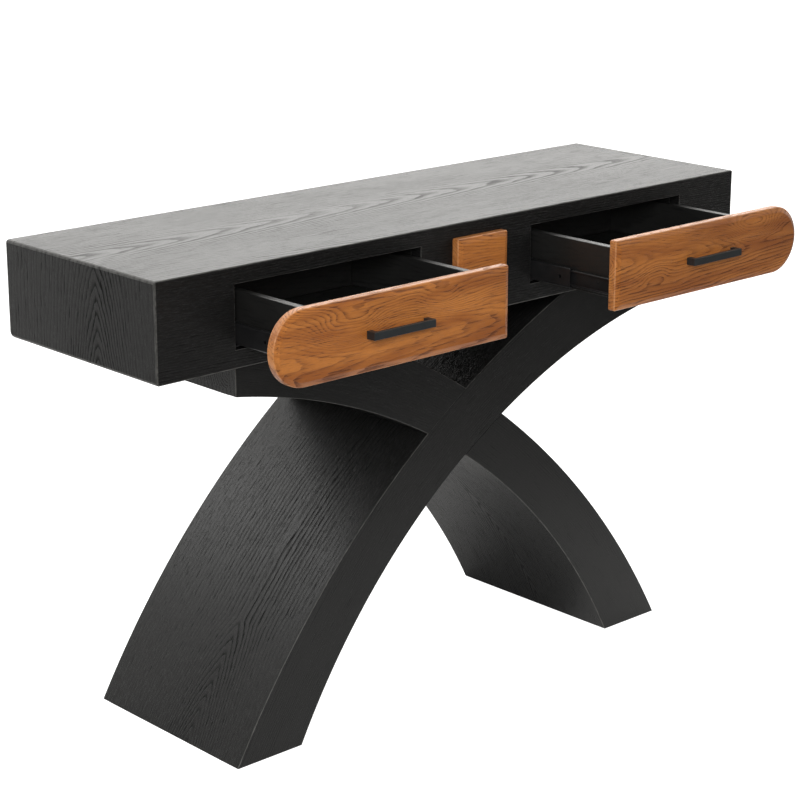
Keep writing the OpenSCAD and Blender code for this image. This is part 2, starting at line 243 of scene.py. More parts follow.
def lay_grain(obj, mapping, shift=(0, 0)):
    """Stores at every face corner its place in the log, in metres: along the grain, across
    it and into the wood. mapping(centre, normal) of a face gives the function to use there."""
    mesh = obj.data
    offset = Vector((shift[0], shift[1], 0))
    values = np.zeros((len(mesh.loops), 3), np.float32)
    for face in mesh.polygons:
        place = mapping(face.center, face.normal)
        for loop in face.loop_indices:
            values[loop] = place(mesh.vertices[mesh.loops[loop].vertex_index].co) + offset
    points = mesh.attributes.new("grain", "FLOAT_VECTOR", "CORNER")
    points.data.foreach_set("vector", values.ravel())


def straight(along, across, origin):
    """Grain along one direction with the rings crossing another, counted from an origin."""
    a, c, o = Vector(along), Vector(across), Vector(origin)
    d = a.cross(c)

    def place(p):
        return Vector(((p - o).dot(a), (p - o).dot(c), (p - o).dot(d)))

    return lambda centre, normal: place


def mark_edges(obj, edge_paleness):
    """Stores how pale each face's edge is, from 0 to 1: wear and a painted highlight.
    edge_paleness(face) gives that for a face.
    """
    mesh = obj.data
    values = np.zeros(len(mesh.loops), np.float32)
    for face in mesh.polygons:
        values[face.loop_start:face.loop_start + face.loop_total] = float(edge_paleness(face))
    marks = mesh.attributes.new("edge", "FLOAT", "CORNER")
    marks.data.foreach_set("value", values)


# ---- shaders

class Graph:
    """Short ways to add shader nodes to a material or a world."""

    def __init__(self, owner):
        owner.use_nodes = True
        self.tree = owner.node_tree

    def node(self, kind, **settings):
        made = self.tree.nodes.new(kind)
        for key, value in settings.items():
            setattr(made, key, value)
        return made

    def feed(self, socket, value):
        """Links a socket to another, or gives it a plain value."""
        if isinstance(value, bpy.types.NodeSocket):
            self.tree.links.new(value, socket)
        else:
            socket.default_value = value

    def shade(self, name, value, shader="Principled BSDF"):
        """Feeds an input of the material's or the world's own shader."""
        self.feed(self.tree.nodes[shader].inputs[name], value)

    def place(self):
        """A shading point's place on its object, in metres."""
        return self.node("ShaderNodeTexCoord").outputs["Object"]

    def stored(self, name):
        """An attribute that was stored on the mesh."""
        return self.node("ShaderNodeAttribute", attribute_name=name)

    def camera_sees(self):
        """1 where the camera itself looks, 0 for light on its way to the object."""
        return self.node("ShaderNodeLightPath").outputs["Is Camera Ray"]

    def math(self, operation, a, b=0.0, c=0.0, clamp=False):
        made = self.node("ShaderNodeMath", operation=operation, use_clamp=clamp)
        for socket, value in zip(made.inputs, (a, b, c)):
            self.feed(socket, value)
        return made.outputs[0]

    def vector(self, operation, vector, other=(0, 0, 0)):
        """A node that works on one vector, or on one and a fixed other."""
        made = self.node("ShaderNodeVectorMath", operation=operation)
        self.feed(made.inputs[0], vector)
        made.inputs[1].default_value = other
        return made

    def scaled(self, vector, scale):
        return self.vector("MULTIPLY", vector, scale).outputs[0]

    def along(self, vector, direction):
        """How far a vector goes along a fixed direction."""
        return self.vector("DOT_PRODUCT", vector, direction).outputs["Value"]

    def split(self, vector):
        made = self.node("ShaderNodeSeparateXYZ")
        self.feed(made.inputs[0], vector)
        return list(made.outputs)

    def join(self, x, y, z):
        made = self.node("ShaderNodeCombineXYZ")
        for socket, value in zip(made.inputs, (x, y, z)):
            self.feed(socket, value)
        return made.outputs[0]

    def noise(self, vector, detail=2.0, roughness=0.5):
        """Noise from 0 to 1 whose lumps are one unit of the vector wide."""
        made = self.node("ShaderNodeTexNoise")
        self.feed(made.inputs["Vector"], vector)
        made.inputs["Scale"].default_value = 1.0
        made.inputs["Detail"].default_value = detail
        made.inputs["Roughness"].default_value = roughness
        return made.outputs["Fac"]

    def step(self, value, low, high):
        """0 below low, 1 above high, and smooth between."""
        made = self.node("ShaderNodeMapRange", interpolation_type="SMOOTHSTEP")
        self.feed(made.inputs["Value"], value)
        self.feed(made.inputs["From Min"], low)
        self.feed(made.inputs["From Max"], high)
        return made.outputs["Result"]

    def mix(self, factor, a, b):
        """A colour between two colours."""
        made = self.node("ShaderNodeMix", data_type="RGBA")
        self.feed(made.inputs[0], factor)
        for socket, value in ((made.inputs[6], a), (made.inputs[7], b)):
            self.feed(socket, value if isinstance(value, bpy.types.NodeSocket) else (*value, 1))
        return made.outputs[2]

    def lerp(self, factor, a, b):
        """A number between two numbers."""
        made = self.node("ShaderNodeMix", data_type="FLOAT")
        self.feed(made.inputs[0], factor)
        self.feed(made.inputs[2], a)
        self.feed(made.inputs[3], b)
        return made.outputs[0]

    def bump(self, height, distance):
        """Relief in the shading: distance is how far a height of 1 stands up, in metres."""
        made = self.node("ShaderNodeBump")
        made.inputs["Distance"].default_value = distance
        self.feed(made.inputs["Height"], height)
        self.shade("Normal", made.outputs[0])


def grain_point(graph, axes):
    """A shading point's place in its log. axes is None for the piece's own grain attribute,
    three letters for the frame's axes in the order along, across and into, or the middle
    (x, z) and radius of a circle that the grain follows."""
    if axes is None:
        return graph.stored("grain").outputs["Vector"]
    parts = graph.split(graph.place())
    if isinstance(axes, str):
        return graph.join(*(parts["XYZ".index(axis)] for axis in axes))
    x, z, radius = axes
    east = graph.math("SUBTRACT", parts[0], x)
    north = graph.math("SUBTRACT", parts[2], z)
    turn = graph.math("ARCTAN2", east, north)
    away = graph.math("SQRT", graph.math("MULTIPLY_ADD", east, east,
                                         graph.math("MULTIPLY", north, north)))
    return graph.join(graph.math("MULTIPLY", turn, radius),
                      graph.math("SUBTRACT", away, radius), 0.0)


def grain_noise(graph, point, scale, **settings):
    """Noise drawn out along the grain: scale is along it, and across it and into the wood."""
    return graph.noise(graph.scaled(point, (scale[0], scale[1], scale[1])), **settings)


def ring_pattern(graph, point, leaf=0.2, pith=0.05, lean=0.06, spacing=0.0048, wobble=0.03,
                 ripple=1.0, arch=None, knots=()):
    """Growth rings of flat-cut veneer, from 0 at the start of a ring to 1 at its end, and how
    plainly they show.
    leaf is the width of a veneer leaf, pith how deep the log's middle lies under it, and
    lean how fast the rings drift along it, which draws the arches. With arch, the half width
    of a strip, only that strip leans, and only where along is below 0. spacing is a ring's
    width, wobble how far the rings wander and ripple how uneven they are. A knot is (along,
    across, half width, how far it pushes the rings)."""
    slow = graph.math("SUBTRACT", grain_noise(graph, point, (1.9, 8.0)), 0.5)
    quick = graph.math("SUBTRACT", grain_noise(graph, point, (11.0, 60.0)), 0.5)
    x, y, z = graph.split(point)
    across = graph.math("MULTIPLY_ADD", slow, wobble, y)
    across = graph.math("PINGPONG", across, leaf / 2)
    deep = graph.math("ADD", z, pith)
    radius = graph.math("SQRT", graph.math("MULTIPLY_ADD", across, across,
                                           graph.math("MULTIPLY", deep, deep)))
    drift = graph.math("MULTIPLY", x, lean)
    plain = 1.0
    if arch is not None:
        aside = graph.math("DIVIDE", across, arch)
        spread = graph.math("MULTIPLY_ADD", aside, aside, 1.0)
        drift = graph.math("DIVIDE", graph.math("MINIMUM", drift, 0.0), spread)
        plain = graph.math("MULTIPLY_ADD", graph.math("DIVIDE", 1.0, spread), 0.8, 0.2)
    radius = graph.math("ADD", radius, drift)
    for along, aside, width, push in knots:
        dx = graph.math("DIVIDE", graph.math("SUBTRACT", x, along), width * 2.2)
        dy = graph.math("DIVIDE", graph.math("SUBTRACT", y, aside), width)
        near = graph.math("MULTIPLY_ADD", dx, dx, graph.math("MULTIPLY", dy, dy))
        falloff = graph.math("ADD", graph.math("MULTIPLY", near, near), 1.0)
        radius = graph.math("ADD", radius, graph.math("DIVIDE", push, falloff))
    radius = graph.math("MULTIPLY_ADD", slow, wobble * 0.5, radius)
    radius = graph.math("MULTIPLY_ADD", quick, spacing * ripple, radius)
    return graph.math("FRACT", graph.math("DIVIDE", radius, spacing)), plain


def early_wood(graph, ring, plain, patch):
    """How much a point lies in the porous start of a ring, stronger in patches."""
    early = graph.math("SUBTRACT", 1.0, graph.step(ring, 0.08, 0.65))
    early = graph.math("MULTIPLY", early, graph.step(ring, 0.0, 0.07))
    early = graph.math("MULTIPLY", early, plain)
    return graph.math("MULTIPLY", early, graph.lerp(graph.step(patch, 0.35, 0.6), 0.5, 1.0))


def pore_pattern(graph, point, early, streak):
    """Pores: dashes of the streak's noise scale, most in the early wood, and fine hairs."""
    dashes = grain_noise(graph, point, streak, detail=3.0, roughness=0.6)
    hair = graph.step(grain_noise(graph, point, (70.0, 1500.0)), 0.56, 0.66)
    limit = graph.math("MULTIPLY_ADD", early, -0.14, 0.61)
    pores = graph.step(dashes, limit, graph.math("ADD", limit, 0.07))
    return graph.math("MAXIMUM", pores, graph.math("MULTIPLY", hair, 0.5))


def wood(name, light, dark, pore, axes=None, blend=None, ring_depth=0.8, pore_depth=0.85,
         streak=(16.0, 420.0), roughness=(0.36, 0.75), specular=0.5, relief=0.00018,
         ring_relief=0.45, edge=None, **rings):
    """Open-grained wood. light, dark and pore are the colours of the ground, the early wood
    and the pores, and blend clouds the ground with another. ring_depth and pore_depth are how
    fully the colours show. roughness is that of the ground and of the most open wood, relief
    the pores' depth in metres, ring_relief that of the early wood as a share of it, and edge
    the strength and colour of the paleness on marked edges, which is wear and a painted
    highlight along the arrises. rings goes to ring_pattern."""
    material = bpy.data.materials.new(name)
    graph = Graph(material)
    point = grain_point(graph, axes)
    ring, plain = ring_pattern(graph, point, **rings)
    patch = grain_noise(graph, point, (2.4, 10.0), detail=3.0)
    early = early_wood(graph, ring, plain, patch)
    pores = pore_pattern(graph, point, early, streak)

    if blend is not None:
        cloud = grain_noise(graph, point, (4.0, 34.0), detail=4.0, roughness=0.6)
        light = graph.mix(graph.step(cloud, 0.32, 0.68), light, blend)
    tone = graph.math("MULTIPLY_ADD", early, ring_depth,
                      graph.math("MULTIPLY", graph.step(patch, 0.3, 0.75), 0.25), clamp=True)
    colour = graph.mix(tone, light, dark)
    colour = graph.mix(graph.math("MULTIPLY", pores, pore_depth), colour, pore)
    # Marked edges turn paler: wear, and a painted highlight along the rounded arrises.
    if edge is not None:
        strength, wear_and_highlight_colour = edge
        patchiness = graph.step(grain_noise(graph, point, (60.0, 140.0), detail=3.0), 0.3, 0.7)
        wear_and_highlight = graph.math("MULTIPLY", graph.stored("edge").outputs["Fac"],
                          graph.lerp(patchiness, 0.35, 0.9))
        colour = graph.mix(graph.math("MULTIPLY", wear_and_highlight, strength), colour, wear_and_highlight_colour)
    graph.shade("Base Color", colour)

    matt = graph.math("MULTIPLY_ADD", early, 0.6, graph.math("MULTIPLY", pores, 0.6), clamp=True)
    graph.shade("Roughness", graph.lerp(matt, roughness[0], roughness[1]))
    graph.shade("Specular IOR Level", specular)
    height = graph.math("MULTIPLY_ADD", early, -ring_relief, graph.math("MULTIPLY", pores, -0.8))
    graph.bump(height, relief)
    return material


def metal(name, colour, roughness, grit, metallic=0.0):
    """Powder coat or plating: an orange peel that stands grit metres up, and slight changes
    of tone and gloss."""
    material = bpy.data.materials.new(name)
    graph = Graph(material)
    peel = graph.noise(graph.scaled(graph.place(), (1800.0,) * 3), detail=3.0)
    cloud = graph.noise(graph.scaled(graph.place(), (60.0,) * 3), detail=3.0)
    tone = graph.mix(graph.step(cloud, 0.3, 0.7), colour, [c * 1.35 for c in colour])
    graph.shade("Base Color", tone)
    graph.shade("Metallic", metallic)
    graph.shade("Roughness", graph.lerp(cloud, roughness - 0.06, roughness + 0.08))
    graph.bump(peel, grit)
    return material


BLACK = dict(light=(0.0085, 0.0084, 0.0082), dark=(0.0045, 0.0045, 0.0045),
             pore=(0.002, 0.002, 0.002), relief=0.00035, specular=0.27)
# Pale marked edges of the black wood: wear, and a painted highlight along the rounded arrises.
EDGE_WEAR_AND_HIGHLIGHT = (0.75, (0.13, 0.128, 0.12))
BOX = dict(light=(0.013, 0.013, 0.0124), dark=(0.010, 0.010, 0.0095),
           pore=(0.005, 0.005, 0.005), relief=0.0001, roughness=(0.34, 0.44), specular=0.5)

# Those without axes follow the grain and the pale edges, wear and a painted highlight, that are
# stored on their pieces
black_wood = wood("black_wood", edge=EDGE_WEAR_AND_HIGHLIGHT, **BLACK)
black_top = wood("black_top_wood", edge=EDGE_WEAR_AND_HIGHLIGHT, leaf=0.21, ring_relief=0.25,
                 roughness=(0.38, 0.62), **{**BLACK, "relief": 0.00014})
black_face = wood("black_face_wood", edge=EDGE_WEAR_AND_HIGHLIGHT, leaf=0.5, pith=0.02, lean=0.02, spacing=0.004,
                  wobble=0.02, **{**BLACK, "specular": 0.18})
black_end = wood("black_end_wood", edge=EDGE_WEAR_AND_HIGHLIGHT, leaf=0.44, pith=0.004, lean=0.42, arch=0.06,
                 spacing=0.009, wobble=0.02, roughness=(0.34, 1.0), ring_depth=1.0,
                 ring_relief=0.7, ripple=1.6, **{**BLACK, "specular": 0.18})
black_leg = wood("black_leg_wood", edge=EDGE_WEAR_AND_HIGHLIGHT, leaf=0.40, pith=0.004, lean=0.36, arch=0.06,
                 spacing=0.0085, wobble=0.02, roughness=(0.36, 0.95), ring_relief=0.55,
                 ripple=1.2, streak=(36.0, 560.0), ring_depth=1.0, **BLACK)
# Under the arches the same black reflects less, which paints shade on the faces turned down.
black_under = wood("black_under_wood", edge=EDGE_WEAR_AND_HIGHLIGHT, leaf=0.40, pith=0.006, lean=0.16, arch=0.09,
                   spacing=0.0055, wobble=0.03, roughness=(0.42, 0.7),
                   **{**BLACK, "specular": 0.12})
# The oak's pale edge colour is a painted highlight along the fronts' arrises.
oak_wood = wood("oak_wood", light=(0.58, 0.215, 0.048), blend=(0.34, 0.105, 0.022),
                dark=(0.18, 0.050, 0.012), pore=(0.06, 0.016, 0.005), ring_depth=0.55,
                pore_depth=0.6, roughness=(0.34, 0.6), specular=0.3, relief=0.00015,
                edge=(0.6, (0.72, 0.36, 0.17)), leaf=0.19, pith=0.02, lean=0.055,
                spacing=0.0046, wobble=0.09, ripple=2.2,
                knots=((0.085, 0.046, 0.024, 0.030), (0.249, 0.062, 0.016, 0.016),
                       (4.536, 0.012, 0.022, 0.028), (4.30, -0.03, 0.014, 0.014),
                       (6.31, -0.01, 0.014, 0.016)))
black_lengthwise = wood("black_lengthwise", axes="XZY", **BLACK)
black_back = wood("black_back_wood", axes="XZY", pith=0.02 - case_hi.y, lean=0.03,
                  leaf=0.31, **BLACK)
box_depthwise = wood("box_depthwise", axes="YZX", **BOX)
box_lengthwise = wood("box_lengthwise", axes="XZY", **BOX)
box_flat = wood("box_flat", axes="XYZ", **BOX)
raw_wood = wood("raw_wood", axes="XZY", light=(0.60, 0.44, 0.27), dark=(0.45, 0.30, 0.17),
                pore=(0.30, 0.19, 0.10), roughness=(0.55, 0.65), relief=0.0001)
slide_steel = metal("slide_steel", (0.008, 0.008, 0.0083), 0.34, 0.00003)
handle_metal = metal("handle_metal", (0.010, 0.0125, 0.014), 0.44, 0.00006)
zinc = metal("zinc", (0.50, 0.50, 0.49), 0.32, 0.00002, metallic=1.0)


def finish_piece(obj, body, material, replaced=()):
    """Gives a piece its material, its body and the CAD nodes it stands for."""
    obj.data.materials.clear()
    obj.data.materials.append(material)
    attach(obj, body)
    if replaced:
        obj.name = replaced[0] + "_skin"
        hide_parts(*replaced)


# ---- case

def case_solid():
    """The whole case as one block, rounded more at its back and its ends than in front."""
    bm = block_mesh(case_lo, case_hi)
    layer = bm.edges.layers.float.new("bevel_weight_edge")
    for edge in bm.edges:
        a, b = (v.co for v in edge.verts)
        along, middle = b - a, (a + b) / 2
        in_front = middle.y < (case_lo.y + case_hi.y) / 2
        low = middle.z < (case_lo.z + case_hi.z) / 2
        if abs(along.y) > 0:
            radius = CASE_END_R
        elif abs(along.z) > 0:
            radius = CASE_CORNER_R if in_front else CASE_BACK_R
        elif in_front:
            radius = CASE_FRONT_R
        else:
            radius = CASE_LOW_R if low else CASE_BACK_R
        edge[layer] = radius / CASE_LOW_R
    obj = round_weighted(new_object("case_solid", bm), CASE_LOW_R, 6)
    made = bmesh.new()
    made.from_mesh(obj.data)
    bpy.data.objects.remove(obj)
    return made


def case_wear_and_highlight(face):
    """How pale a face of the case is: its rounded outer edges, with wear and a painted
    highlight, and hardly those at the back.
    """
    reach = CASE_END_R * 0.8
    near = [min(abs(c - low), abs(high - c)) < reach
            for c, low, high in zip(face.center, case_lo, case_hi)]
    flat = max(abs(c) for c in face.normal) > 0.9985
    if flat or not any(near):
        return 0.0
    return 0.12 if face.normal.y > 0.05 else 1.0


def on_opening_edge(p):
    """True for a point on the rim of a drawer opening, in the case's face."""
    x, z = abs(p.x), p.z
    in_x = opening_in - SAME < x < opening_out + SAME
    in_z = opening_z0 - SAME < z < opening_z1 + SAME
    on_x = min(abs(x - opening_in), abs(x - opening_out)) < SAME
    on_z = min(abs(z - opening_z0), abs(z - opening_z1)) < SAME
    return abs(p.y - case_lo.y) <= SAME and in_x and in_z and on_x != on_z


def case_board(name, cuts, mapping, shift, with_openings=False, material=black_wood):
    """One board of the case: the whole case with what lies beyond the cuts taken away."""
    bm = whole_case.copy()
    for point, normal in cuts:
        cut_away(bm, point, normal)
    if with_openings:
        for x in (-opening_out, -opening_in, opening_in, opening_out):
            score(bm, (x, 0, 0), (1, 0, 0))
        rim = [e for e in bm.edges if on_opening_edge((e.verts[0].co + e.verts[1].co) / 2)]
        bmesh.ops.bevel(bm, geom=rim, offset=OPENING_R, segments=2, profile=0.5,
                        affect="EDGES", clamp_overlap=True)
    obj = smooth(new_object(name, bm))
    lay_grain(obj, mapping, shift)
    mark_edges(obj, case_wear_and_highlight)
    finish_piece(obj, "case", material, [name])


def mitred(board, *neighbours):
    """The cuts that leave one board of the case: at its inner face, and a mitre to each
    neighbour. A board goes by the way it faces, and a cut is (point, way that is removed)."""
    cuts = []
    for other in ((0, 0, 0),) + neighbours:
        point = [high if a + b > 0 else low
                 for a, b, low, high in zip(board, other, inner_lo, inner_hi)]
        cuts.append((point, Vector(other) - Vector(board)))
    return cuts


TOP, BOTTOM, LEFT, RIGHT, FRONT = (0, 0, 1), (0, 0, -1), (-1, 0, 0), (1, 0, 0), (0, -1, 0)

whole_case = case_solid()
case_board("top_panel", mitred(TOP, LEFT, RIGHT, FRONT),
           straight((1, 0, 0), (0, 1, 0), (0, case_lo.y, case_hi.z)), (0.31, -0.19),
           material=black_top)
case_board("bottom_panel", mitred(BOTTOM, LEFT, RIGHT, FRONT),
           straight((1, 0, 0), (0, -1, 0), (0, case_lo.y, case_lo.z)), (3.1, 0.05))
case_board("left_end_panel", mitred(LEFT, TOP, BOTTOM, FRONT),
           straight((0, 0, 1), (0, 1, 0), (case_lo.x, case_lo.y, case_hi.z)), (0, -0.135),
           material=black_end)
case_board("right_end_panel", mitred(RIGHT, TOP, BOTTOM, FRONT),
           straight((0, 0, 1), (0, -1, 0), (case_hi.x, case_lo.y, case_hi.z)), (0, 0.20),
           material=black_end)

STILE_CUTS = [((0, 0, opening_z1), TOP), ((0, 0, opening_z0), BOTTOM)]


def face_board(name, cuts):
    """A rail or stile of the face, all cut from one sheet of veneer."""
    case_board(name, mitred(FRONT, TOP, BOTTOM, LEFT, RIGHT) + cuts,
               straight((1, 0, 0), (0, 0, 1), (0, case_lo.y, case_lo.z)), (1.7, 0.06),
               with_openings=True, material=black_face)


face_board("face_top_rail", [((0, 0, opening_z1), BOTTOM)])
face_board("face_bottom_rail", [((0, 0, opening_z0), TOP)])
face_board("face_left_stile", STILE_CUTS + [((-opening_out, 0, 0), RIGHT)])
face_board("face_right_stile", STILE_CUTS + [((opening_out, 0, 0), LEFT)])
face_board("face_centre_stile", STILE_CUTS + [((opening_in, 0, 0), RIGHT),
                                              ((-opening_in, 0, 0), LEFT)])
whole_case.free()


# ---- legs
# A leg is drawn in its own X-Z plane with its foot on the left; the arms are the same leg
# mirrored, and stop where they meet the through leg.

through_lo, through_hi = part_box("through_leg_front_cheek")
back_lo, back_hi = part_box("through_leg_back_cheek")
CHEEK_Y = {"front": (through_lo.y, through_hi.y), "back": (back_lo.y, back_hi.y)}
foot_x = through_lo.x
end_x = through_hi.x
leg_h = through_hi.z


def arc_centre(a, b, radius):
    """Middle of the circle whose arc rises from a to b and bulges up."""
    a, b = Vector(a), Vector(b)
    chord = b - a
    down = Vector((chord.y, -chord.x)).normalized()
    return (a + b) / 2 + down * math.sqrt(radius ** 2 - (chord.length / 2) ** 2)


outer_c = arc_centre((foot_x, 0), (end_x - LEG_TOP_L, leg_h), LEG_OUTER_R)
inner_c = arc_centre((foot_x + FOOT_W, 0), (end_x, leg_h - LEG_END_H), LEG_INNER_R)
OUTER = (outer_c, LEG_OUTER_R)
INNER = (inner_c, LEG_INNER_R)
OUTER_SKIN = (outer_c, LEG_OUTER_R - SKIN_T)
INNER_SKIN = (inner_c, LEG_INNER_R + SKIN_T)


def mirrored(circle):
    return (Vector((-circle[0].x, circle[0].y)), circle[1])


def at_height(circle, z):
    """Where a leg's circle is at a height, on the leg's side of its middle."""
    c, r = circle
    return Vector((c.x - math.sqrt(r ** 2 - (z - c.y) ** 2), z))


def at_distance(circle, x):
    """Where a leg's circle is at a distance from the table's middle."""
    c, r = circle
    return Vector((x, c.y + math.sqrt(r ** 2 - (x - c.x) ** 2)))


def crossing(first, second, near):
    """The point where two circles cross that is nearer to a given point."""
    (a, ra), (b, rb) = first, second
    between = b - a
    along = (between.length_squared + ra ** 2 - rb ** 2) / (2 * between.length)
    side = math.sqrt(ra ** 2 - along ** 2)
    unit = between.normalized()
    turned = Vector((-unit.y, unit.x))
    both = [a + unit * along + turned * side * s for s in (-1, 1)]
    return min(both, key=lambda p: (p - Vector(near)).length)


def arc(circle, start, end):
    """Points on a circle from start to just before end, at whole steps of its angle."""
    c, r = circle
    first, last = (math.atan2(p.y - c.y, p.x - c.x) for p in (start, end))
    steps = range(math.ceil(min(first, last) / ARC_STEP + 0.2),
                  math.floor(max(first, last) / ARC_STEP - 0.2) + 1)
    angles = [k * ARC_STEP for k in steps]
    if first > last:
        angles.reverse()
    return [start] + [c + Vector((math.cos(a), math.sin(a))) * r for a in angles]


def corner(x, z):
    return Vector((x, z))


foot_outer = at_height(OUTER, 0)
foot_inner = at_height(INNER, 0)
top_start = corner(end_x - LEG_TOP_L, leg_h)
top_end = corner(end_x, leg_h)
end_low = corner(end_x, leg_h - LEG_END_H)
far_outer, far_inner = mirrored(OUTER), mirrored(INNER)
cross_low = at_distance(INNER, 0)
cross_high = at_distance(OUTER, 0)
arm_top = crossing(OUTER, far_inner, (-0.15, 0.25))
arm_side = crossing(INNER, far_outer, (0.15, 0.4))

# An outline is runs of (points, weight of the run's edges, weight of its first corner)
CHEEKS = {
    "through_leg": [(arc(OUTER, foot_outer, top_start), ROUND, EASED),
                    ([top_start], EASED, EASED), ([top_end], ROUND, EASED),
                    (arc(INNER, end_low, foot_inner), ROUND, ROUND),
                    ([foot_inner], EASED, EASED)],
    "lower_arm": [(arc(OUTER, foot_outer, arm_top), ROUND, EASED),
                  (arc(far_inner, arm_top, cross_low), SHARP, SHARP),
                  (arc(INNER, cross_low, foot_inner), ROUND, SHARP),
                  ([foot_inner], EASED, EASED)],
    "upper_arm": [(arc(OUTER, cross_high, top_start), ROUND, SHARP),
                  ([top_start], EASED, EASED), ([top_end], ROUND, EASED),
                  (arc(INNER, end_low, arm_side), ROUND, ROUND),
                  (arc(far_outer, arm_side, cross_high), SHARP, SHARP)],
}


def skin_outlines():
    """The six bent skins' outlines, each in its own leg's plane: along the leg's own curve,
    then back along the skin's inner side."""
    outer_low, inner_low = at_height(OUTER_SKIN, 0), at_height(INNER_SKIN, 0)
    top_in = at_height(OUTER_SKIN, leg_h)
    end_in = at_distance(INNER_SKIN, end_x)
    low_in = crossing(OUTER_SKIN, far_inner, arm_top)
    low_cross = crossing(INNER_SKIN, far_inner, cross_low)
    high_cross = crossing(OUTER_SKIN, far_outer, cross_high)
    high_in = crossing(INNER_SKIN, far_outer, arm_side)
    return {
        "through_leg_outer_skin": arc(OUTER, foot_outer, top_start) + [top_start]
        + arc(OUTER_SKIN, top_in, outer_low) + [outer_low],
        "through_leg_inner_skin": arc(INNER, foot_inner, end_low) + [end_low]
        + arc(INNER_SKIN, end_in, inner_low) + [inner_low],
        "lower_arm_outer_skin": arc(OUTER, foot_outer, arm_top) + arc(far_inner, arm_top, low_in)
        + arc(OUTER_SKIN, low_in, outer_low) + [outer_low],
        "lower_arm_inner_skin": arc(INNER, foot_inner, cross_low)
        + arc(far_inner, cross_low, low_cross)
        + arc(INNER_SKIN, low_cross, inner_low) + [inner_low],
        "upper_arm_outer_skin": arc(OUTER, cross_high, top_start) + [top_start]
        + arc(OUTER_SKIN, top_in, high_cross) + arc(far_outer, high_cross, cross_high),
        "upper_arm_inner_skin": arc(INNER, arm_side, end_low) + [end_low]
        + arc(INNER_SKIN, end_in, high_in) + arc(far_outer, high_in, arm_side),
    }


# Where the veneer's arches lie, by flip: 1 for the through leg, -1 for the mirrored arms
LEG_SHIFT = {1: (0.74, -0.125), -1: (0.7, -0.15)}


def leg_grain(flip):
    """Veneer whose grain runs along the curve of a leg's nearer curved face."""

    def mapping(centre, normal):
        p = Vector((centre.x * flip, centre.z))
        off_outer = abs((p - outer_c).length - LEG_OUTER_R)
        off_inner = abs((p - inner_c).length - LEG_INNER_R)
        (c, r), top = (INNER, end_low) if off_inner < off_outer else (OUTER, top_start)
        top_turn = math.atan2(top.y - c.y, top.x - c.x)

        def place(q):
            d = Vector((q.x * flip, q.z)) - c
            along = (top_turn - math.atan2(d.y, d.x)) * r
            return Vector((along, q.y - CHEEK_Y["front"][0], d.length - r))

        return place

    return mapping


def dowel_lines(y):
    """Where the crossing's dowels pass the through leg's curved faces, and which way."""
    points, ways = [], []
    for x in DOWEL_X:
        for circle, at in ((INNER, x), (OUTER, -x)):
            p = at_distance(circle, at)
            way = (p - circle[0]).normalized()
            points.append(Vector((p.x, y, p.y)))
            ways.append(Vector((way.x, 0, way.y)))
    return points, ways


def leg_wear_and_highlight(face):
    """How pale a face of a leg is: the roundings between its flat sides and curved faces, with
    wear and a painted highlight.
    """
    return 0.05 < abs(face.normal.y) < 0.95


def dress_leg(obj, name, flip, sides=None):
    """Gives a leg's part its grain: veneer on its curved faces, duller under the arches, where
    the weaker reflection paints shade, and on its flat sides, if it has any, straight grain that
    follows the curve."""
    smooth(obj)
    lay_grain(obj, leg_grain(flip), LEG_SHIFT[flip])
    mark_edges(obj, leg_wear_and_highlight)
    finish_piece(obj, "case", black_leg, [name])
    obj.data.materials.append(black_under)
    if sides is not None:
        obj.data.materials.append(sides)
    for face in obj.data.polygons:
        inward = Vector((face.center.x * flip, face.center.z)) - inner_c
        facing_down = face.normal.z < 0 and abs(inward.length - LEG_INNER_R) < 3 * MM
        if sides is not None and abs(face.normal.y) > 0.7:
            face.material_index = 2
        elif facing_down:
            face.material_index = 1


def build_legs():
    """The cheeks with the dowels' holes, and the skins between them."""
    side_wood = {
        flip: wood("leg_side_" + tag, axes=(outer_c.x * flip, outer_c.y, LEG_OUTER_R * flip),
                   leaf=0.9, pith=0.01, lean=0.02, spacing=0.004, wobble=0.03, edge=EDGE_WEAR_AND_HIGHLIGHT,
                   roughness=(0.38, 0.5), ring_relief=0.15,
                   **{**BLACK, "relief": 0.00012, "specular": 0.2})
        for flip, tag in ((1, "through"), (-1, "arms"))}
    for part, runs in CHEEKS.items():
        flip = 1 if part == "through_leg" else -1
        outline, edges = [], []
        for points, weight, first in runs:
            outline += points
            edges += [(weight, first)] + [(weight, SHARP)] * (len(points) - 1)
        for place, (y0, y1) in CHEEK_Y.items():
            name = f"{part}_{place}_cheek"
            seen = 0 if place == "front" else 1
            weights = [((w, SHARP)[seen], (SHARP, w)[seen], across) for w, across in edges]
            obj = prism(name, outline, (y0, y1), weights,
                        lambda u, v, y: Vector((u * flip, y, v)), LEG_EDGE_R)
            points, ways = dowel_lines((y0 + y1) / 2)
            starts = [p - way * DOWEL_REACH for p, way in zip(points, ways)]
            drill(obj, starts, ways, DOWEL_R, 2 * DOWEL_REACH)
            dress_leg(obj, name, flip, side_wood[flip])
    levels = (CHEEK_Y["front"][1], CHEEK_Y["back"][0])
    for name, outline in skin_outlines().items():
        flip = 1 if name.startswith("through") else -1
        obj = prism(name, outline, levels, SHARP,
                    lambda u, v, y: Vector((u * flip, y, v)), LEG_EDGE_R)
        dress_leg(obj, name, flip)


build_legs()


# ---- drawer fronts

